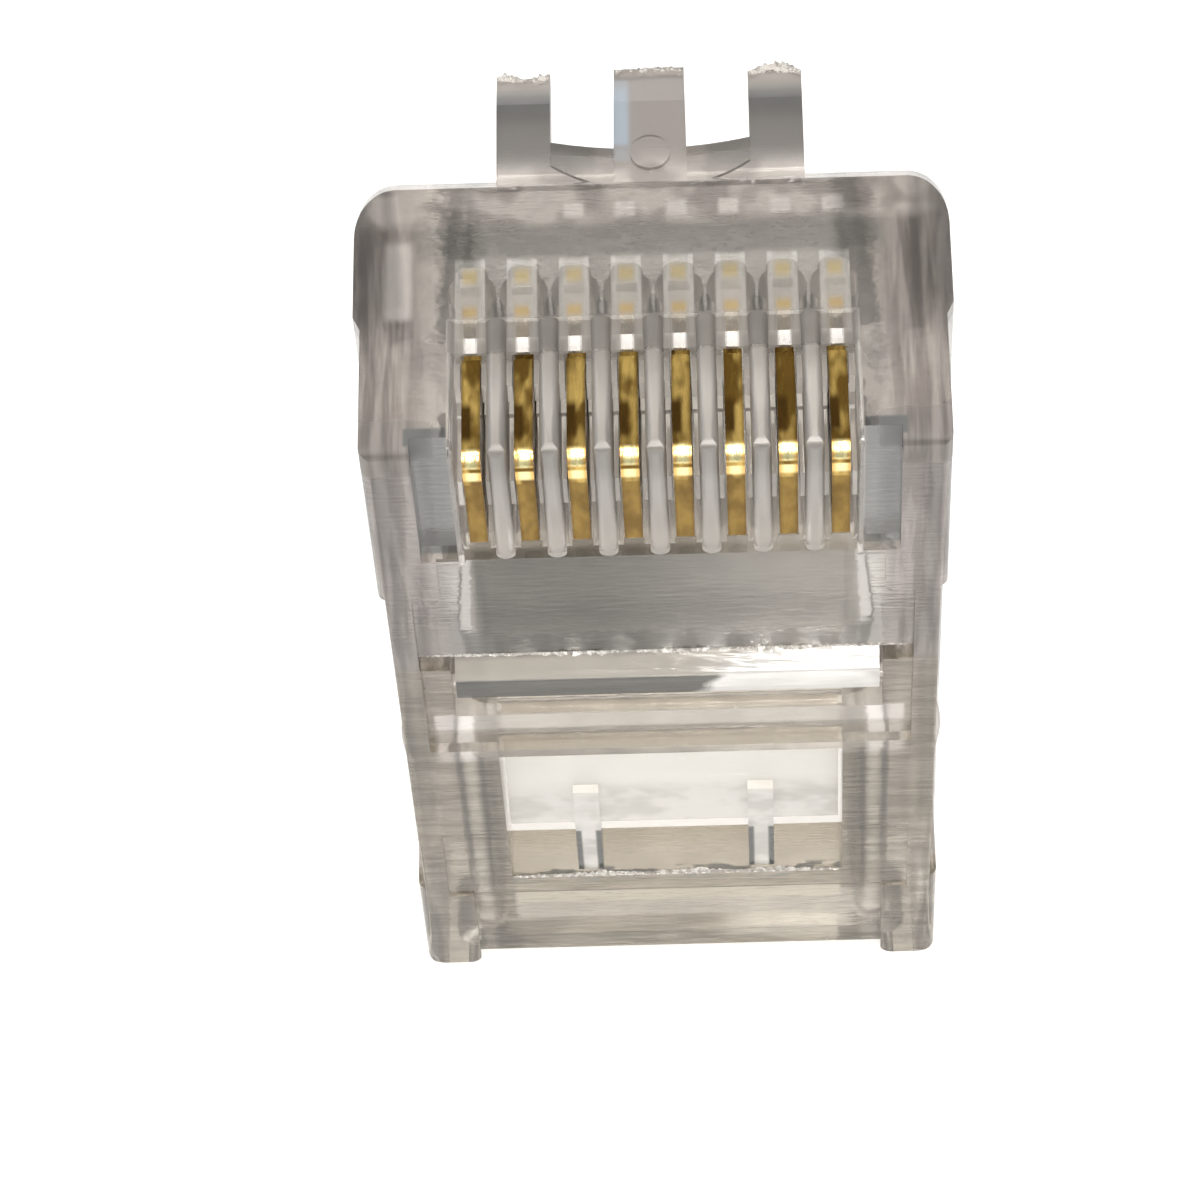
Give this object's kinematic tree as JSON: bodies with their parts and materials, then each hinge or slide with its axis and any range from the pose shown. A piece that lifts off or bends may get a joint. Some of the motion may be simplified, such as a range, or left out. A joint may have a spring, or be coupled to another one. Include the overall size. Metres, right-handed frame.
{
  "type": "modular plug",
  "caption": "Clear modular plug before crimping, with contact blades in a slotted nose, two crimp bars, an open cable end and the broken-off root of its latch.",
  "frame": {"origin": "centre of the cable entry, in the plane of the cable end", "axes": "+Z out of the nose, the way the plug enters a jack; X across the contacts; -Y is the contact side and +Y the latch side"},
  "size_m": [0.0116, 0.0093, 0.0215],
  "materials": {
    "clear_polycarbonate": "clear moulded, glossy",
    "gold_plated_contact": "gold plated, stamped"
  },
  "bodies": {
    "housing": {"housing": "clear_polycarbonate"},
    "wire_bar": {"wire_bar": "clear_polycarbonate"},
    "jacket_bar": {"jacket_bar": "clear_polycarbonate"},
    "contact_1": {"contact_1": "gold_plated_contact"},
    "contact_2": {"contact_2": "gold_plated_contact"},
    "contact_3": {"contact_3": "gold_plated_contact"},
    "contact_4": {"contact_4": "gold_plated_contact"},
    "contact_5": {"contact_5": "gold_plated_contact"},
    "contact_6": {"contact_6": "gold_plated_contact"},
    "contact_7": {"contact_7": "gold_plated_contact"},
    "contact_8": {"contact_8": "gold_plated_contact"}
  },
  "joints": [
    {"name": "wire_bar_crimp", "type": "hinge", "parent": "housing", "child": "wire_bar", "pos_m": [0, -0.003, 0.01091], "axis": [-1, 0, 0], "range_deg": [0, 26]},
    {"name": "jacket_bar_crimp", "type": "hinge", "parent": "housing", "child": "jacket_bar", "pos_m": [0, -0.00315, 0.0095], "axis": [1, 0, 0], "range_deg": [0, 24]},
    {"name": "contact_1_crimp", "type": "slide", "parent": "housing", "child": "contact_1", "axis": [0, 1, 0], "range_m": [0, 0.00058]},
    {"name": "contact_2_crimp", "type": "slide", "parent": "housing", "child": "contact_2", "axis": [0, 1, 0], "range_m": [0, 0.00058]},
    {"name": "contact_3_crimp", "type": "slide", "parent": "housing", "child": "contact_3", "axis": [0, 1, 0], "range_m": [0, 0.00058]},
    {"name": "contact_4_crimp", "type": "slide", "parent": "housing", "child": "contact_4", "axis": [0, 1, 0], "range_m": [0, 0.00058]},
    {"name": "contact_5_crimp", "type": "slide", "parent": "housing", "child": "contact_5", "axis": [0, 1, 0], "range_m": [0, 0.00058]},
    {"name": "contact_6_crimp", "type": "slide", "parent": "housing", "child": "contact_6", "axis": [0, 1, 0], "range_m": [0, 0.00058]},
    {"name": "contact_7_crimp", "type": "slide", "parent": "housing", "child": "contact_7", "axis": [0, 1, 0], "range_m": [0, 0.00058]},
    {"name": "contact_8_crimp", "type": "slide", "parent": "housing", "child": "contact_8", "axis": [0, 1, 0], "range_m": [0, 0.00058]}
  ]
}
